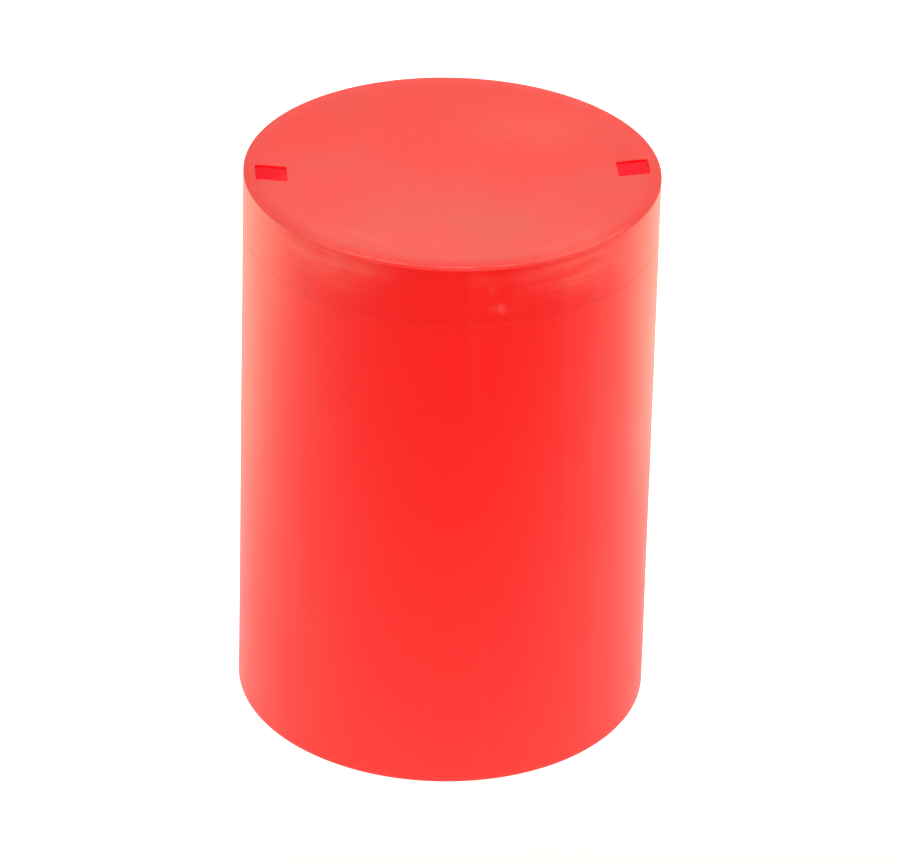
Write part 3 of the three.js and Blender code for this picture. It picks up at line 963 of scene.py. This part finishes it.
def make_floor():
    material = bpy.data.materials.new("pale_floor")
    material.use_nodes = True
    tree = material.node_tree
    shader = tree.nodes["Principled BSDF"]
    shader.inputs["Base Color"].default_value = (0.3, 0.3, 0.3, 1)
    shader.inputs["Roughness"].default_value = 0.8
    position = node(tree, "ShaderNodeNewGeometry").outputs["Position"]
    place = node(tree, "ShaderNodeSeparateXYZ", {"Vector": position}).outputs
    beside = step(tree, maths(tree, "ABSOLUTE", place["X"]), 0.3, 0.8)
    beside = maths(tree, "MULTIPLY", beside, step(tree, place["Y"], 0.0, 0.6))
    tint = node(tree, "ShaderNodeMix", {"Factor": beside}, data_type="RGBA")
    tint.inputs[COLOUR_A].default_value = (*FLOOR_COLOUR, 1)
    tint.inputs[COLOUR_B].default_value = (*FLOOR_SIDES_COLOUR, 1)
    tree.links.new(tint.outputs[COLOUR_RESULT], shader.inputs["Emission Color"])
    glow = maths(tree, "MULTIPLY_ADD", beside, FLOOR_SIDES, 1.0)
    glow = maths(tree, "MULTIPLY", glow, step(tree, place["Y"], FLOOR_DARK, FLOOR_LIGHT, 0.0, FLOOR_GLOW))
    tree.links.new(glow, shader.inputs["Emission Strength"])
    mesh = bpy.data.meshes.new("floor")
    reach = 12.0
    corners = [(-reach, -reach, 0), (reach, -reach, 0), (reach, reach, 0), (-reach, reach, 0)]
    mesh.from_pydata(corners, [], [(0, 1, 2, 3)])
    mesh.materials.append(material)
    floor = bpy.data.objects.new("floor", mesh)
    bpy.context.scene.collection.objects.link(floor)
    floor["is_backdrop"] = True


def add_softbox(name, place, aim, size, power):
    """A soft light at a place that shines towards another, with its power in watts."""
    light = bpy.data.lights.new(name, "AREA")
    light.shape = "RECTANGLE"
    light.size, light.size_y = size
    light.energy = power
    softbox = bpy.data.objects.new(name, light)
    bpy.context.scene.collection.objects.link(softbox)
    softbox.location = place
    softbox.rotation_mode = "QUATERNION"
    softbox.rotation_quaternion = (Vector(aim) - Vector(place)).to_track_quat("-Z", "Y")
    softbox.visible_camera = False
    return softbox


def make_world():
    """A studio with pale warm walls all round, which look brighter in a reflection than they light."""
    world = bpy.data.worlds.new("studio")
    world.use_nodes = True
    tree = world.node_tree
    light = tree.nodes["Background"]
    light.inputs["Color"].default_value = (*WALLS, 1)
    light.inputs["Strength"].default_value = FILL
    mirrored = node(tree, "ShaderNodeBackground", {"Color": (*WALLS, 1), "Strength": MIRRORED}).outputs[0]
    glossy = node(tree, "ShaderNodeLightPath").outputs["Is Glossy Ray"]
    both = node(tree, "ShaderNodeMixShader", {"Fac": glossy, 1: light.outputs[0], 2: mirrored}).outputs[0]
    tree.links.new(both, tree.nodes["World Output"].inputs["Surface"])
    bpy.context.scene.world = world


def make_lights(pieces):
    """Softboxes that light the pieces and leave the floor, which has a light of its own. The strips show
    only in the pieces' gloss, and the fills don't show in it."""
    lit = bpy.data.collections.new("lit_pieces")
    for piece in pieces:
        lit.objects.link(piece)
    for name, place, aim, size, power, left_out in (
        ("overhead_strip", (0, 0.1, 1.9), (0, 0.1, 0), (2.2, 0.7), 14, "visible_diffuse"),
        ("left_strip", (-1.6, 0, 1.9), (0, 0, 0.7), (1.4, 1.2), 6, "visible_diffuse"),
        ("right_strip", (1.6, 0, 1.9), (0, 0, 0.7), (1.4, 1.2), 6, "visible_diffuse"),
        ("front_fill", (0.2, -1.8, 1.6), (0, 0, 0.5), (2.0, 0.8), 25, "visible_glossy"),
        ("rear_fill", (0.7, 2.3, 0.9), (0, 0, 0.5), (1.6, 0.8), 46, "visible_glossy"),
    ):
        softbox = add_softbox(name, place, aim, size, power)
        setattr(softbox, left_out, False)
        softbox.light_linking.receiver_collection = lit


CAMERA_AZIMUTH, CAMERA_ELEVATION, CAMERA_ROLL = (math.radians(angle) for angle in (-5.06, 30.3, 1.48))
CAMERA_DISTANCE = 6.0
CAMERA_LENS, SENSOR_WIDTH = 195, 36  # in millimetres
AIM_ASIDE = (0.005, -0.0093, 0)  # from the drum's middle to where the camera looks, as it sees it


def make_camera():
    lens = bpy.data.cameras.new("camera")
    lens.sensor_width = SENSOR_WIDTH
    lens.lens = CAMERA_LENS
    camera = bpy.data.objects.new("camera", lens)
    bpy.context.scene.collection.objects.link(camera)
    aside, level = math.sin(CAMERA_AZIMUTH), math.cos(CAMERA_ELEVATION)
    back = Vector((aside * level, -math.cos(CAMERA_AZIMUTH) * level, math.sin(CAMERA_ELEVATION)))
    turn = (-back).to_track_quat("-Z", "Y")
    roll = Matrix.Rotation(CAMERA_ROLL, 4, "Z")
    aim = Vector((0, 0, HEIGHT * MM / 2)) + turn @ Vector(AIM_ASIDE)
    place = Matrix.Translation(aim + back * CAMERA_DISTANCE)
    camera.matrix_world = place @ turn.to_matrix().to_4x4() @ roll
    bpy.context.scene.camera = camera


# ---- Everything together ----

make_camera()
make_world()
make_floor()
bpy.context.scene.view_settings.view_transform = "Standard"
bpy.context.scene.cycles.diffuse_bounces = 16
bpy.context.scene.cycles.max_bounces = 20

for piece, cad_node, body, slot in (
    (make_wall(), "barrel_wall", "drum", "red_plastic"),
    (make_head(), "top_head", "drum", "red_plastic"),
    (make_base(), "base_plate", "drum", "red_plastic"),
    (make_bushing(), "drain_bushing", "drum", "black_plastic"),
    (make_gasket(), "bushing_gasket", "drum", "black_rubber"),
    (make_nut(), "bushing_locknut", "drum", "black_plastic"),
    (make_seal(), "plug_seal", "plug_seal", "black_rubber"),
    (make_plug(), "drain_plug", "drain_plug", "dark_red_plastic"),
):
    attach(piece, body)
    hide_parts(cad_node)

make_lights(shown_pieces())
